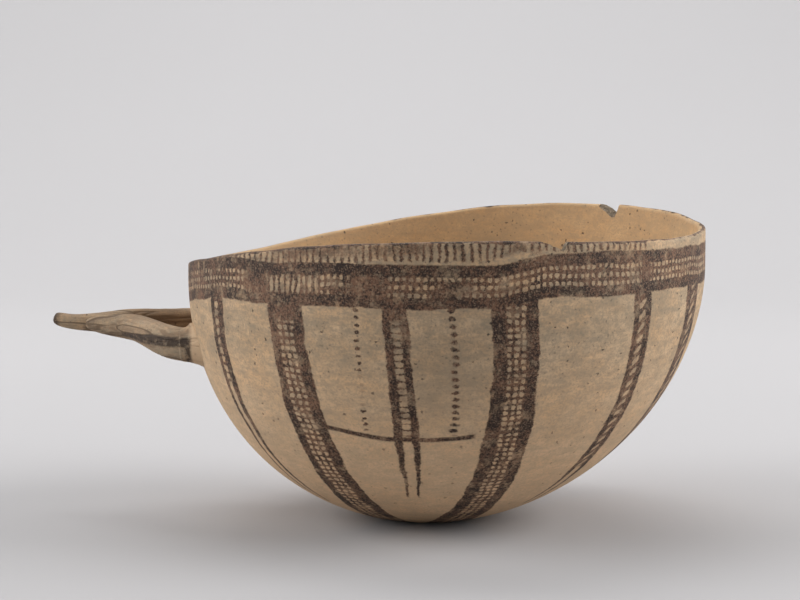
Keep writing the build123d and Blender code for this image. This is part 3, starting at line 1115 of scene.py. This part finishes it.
def backdrop_material():
    """Plain pale paper, which stays as pale to the eye where the lamps don't reach."""
    recipe = Recipe("pale_paper")
    settings = bpy.context.scene.stage_settings
    soft = [part * 0.97 for part in settings.backdrop]
    base = recipe.mixed(recipe.noise(300, 2.0), settings.backdrop, soft)
    x, y, _ = recipe.position()
    far = (abs(x) - 1600.0).inside(1600.0) | (-y - 1150.0).inside(1300.0)
    seen = recipe.node("ShaderNodeLightPath", {}, {}, "Is Camera Ray")
    glow = recipe.mixed(far * seen, (0.0, 0.0, 0.0), settings.glow)
    return recipe.finish(base, 0.95, recipe.noise(2, 2.0), 0.01, 0.1, glow)


def add_light(name, location, aim, size, power):
    """One soft area lamp."""
    deselect()
    bpy.ops.object.light_add(type="AREA", location=location)
    lamp = bpy.context.object
    lamp.name = name
    lamp.data.shape = "DISK"
    lamp.data.size = size
    lamp.data.energy = power
    lamp.rotation_euler = (Vector(aim) - Vector(location)).to_track_quat("-Z", "Y").to_euler()


class MODEL_OT_stage(bpy.types.Operator):
    """Set up the pale backdrop, the soft light and the camera"""

    bl_idname = "bowl.stage"
    bl_label = "Stage"

    def execute(self, context):
        scene = context.scene
        settings = scene.stage_settings
        deselect()
        bpy.ops.mesh.primitive_plane_add(size=1, location=(0, 0, 0))
        floor = context.object
        floor.name = "backdrop"
        bpy.ops.transform.resize(value=(FLOOR_WIDTH, FLOOR_DEPTH, 1))
        bpy.ops.object.transform_apply()
        bpy.ops.object.mode_set(mode="EDIT")
        back = FLOOR_DEPTH / 2 - WELD
        select_vertices(floor, lambda vertex: vertex.co.y > back)
        rise = (0, 0, BACKDROP_HEIGHT)
        bpy.ops.mesh.extrude_edges_move(TRANSFORM_OT_translate={"value": rise})
        select_vertices(floor, lambda vertex: vertex.co.y > back and vertex.co.z < WELD)
        bpy.ops.mesh.bevel(offset=BACKDROP_BEND, segments=24, affect="EDGES")
        bpy.ops.object.mode_set(mode="OBJECT")
        bpy.ops.object.shade_smooth()
        floor.data.materials.append(backdrop_material())
        scene.world = bpy.data.worlds.new("soft_room")
        scene.world.use_nodes = True
        background = scene.world.node_tree.nodes["Background"].inputs
        background["Color"].default_value = (*settings.room, 1.0)
        background["Strength"].default_value = settings.room_strength
        for lamp in LAMPS:
            add_light(*lamp)
        self.place_camera(scene, settings)
        scene.view_settings.view_transform = "Standard"
        return {"FINISHED"}

    def place_camera(self, scene, settings):
        """Camera at the photograph's viewing angle."""
        bearing = settings.camera_bearing
        x = bowl().lean + settings.camera_distance * sin(bearing)
        y = -settings.camera_distance * cos(bearing)
        turn = (pi / 2 - settings.camera_pitch, 0, bearing + settings.camera_yaw)
        bpy.ops.object.camera_add(location=(x, y, settings.camera_height), rotation=turn)
        camera = bpy.context.object
        camera.name = "photo_view"
        camera.data.sensor_width = 36.0
        camera.data.lens = settings.focal
        scene.camera = camera


class VIEW3D_PT_bowl(bpy.types.Panel):
    """Sidebar panel with the bowl's steps and sizes"""

    bl_label = "Slip-ware bowl"
    bl_idname = "VIEW3D_PT_bowl"
    bl_space_type = "VIEW_3D"
    bl_region_type = "UI"
    bl_category = "Bowl"

    def draw(self, context):
        for operator in OPERATORS:
            self.layout.operator(operator.bl_idname)
        for name, _ in GROUPS:
            group = getattr(context.scene, name)
            box = self.layout.box()
            for key in group.__annotations__:
                box.prop(group, key)


GROUPS = (
    ("bowl_sizes", BowlSizes),
    ("handle_sizes", HandleSizes),
    ("clay_colours", ClayColours),
    ("stage_settings", StageSettings),
)
OPERATORS = (
    MODEL_OT_bowl_skins,
    MODEL_OT_handle_straps,
    MODEL_OT_root_collars,
    MODEL_OT_tang_pads,
    MODEL_OT_stage,
)


def register():
    """Register the property groups, operators and panel."""
    for name, group in GROUPS:
        bpy.utils.register_class(group)
        setattr(bpy.types.Scene, name, PointerProperty(type=group))
    for operator in OPERATORS:
        bpy.utils.register_class(operator)
    bpy.utils.register_class(VIEW3D_PT_bowl)


def unregister():
    """Take them away again."""
    bpy.utils.unregister_class(VIEW3D_PT_bowl)
    for operator in reversed(OPERATORS):
        bpy.utils.unregister_class(operator)
    for name, group in reversed(GROUPS):
        delattr(bpy.types.Scene, name)
        bpy.utils.unregister_class(group)


def main():
    """Model the bowl and set the stage."""
    register()
    bpy.ops.bowl.skins()
    bpy.ops.bowl.straps()
    bpy.ops.bowl.collars()
    bpy.ops.bowl.pads()
    bpy.ops.bowl.stage()


if __name__ == "__main__":
    main()
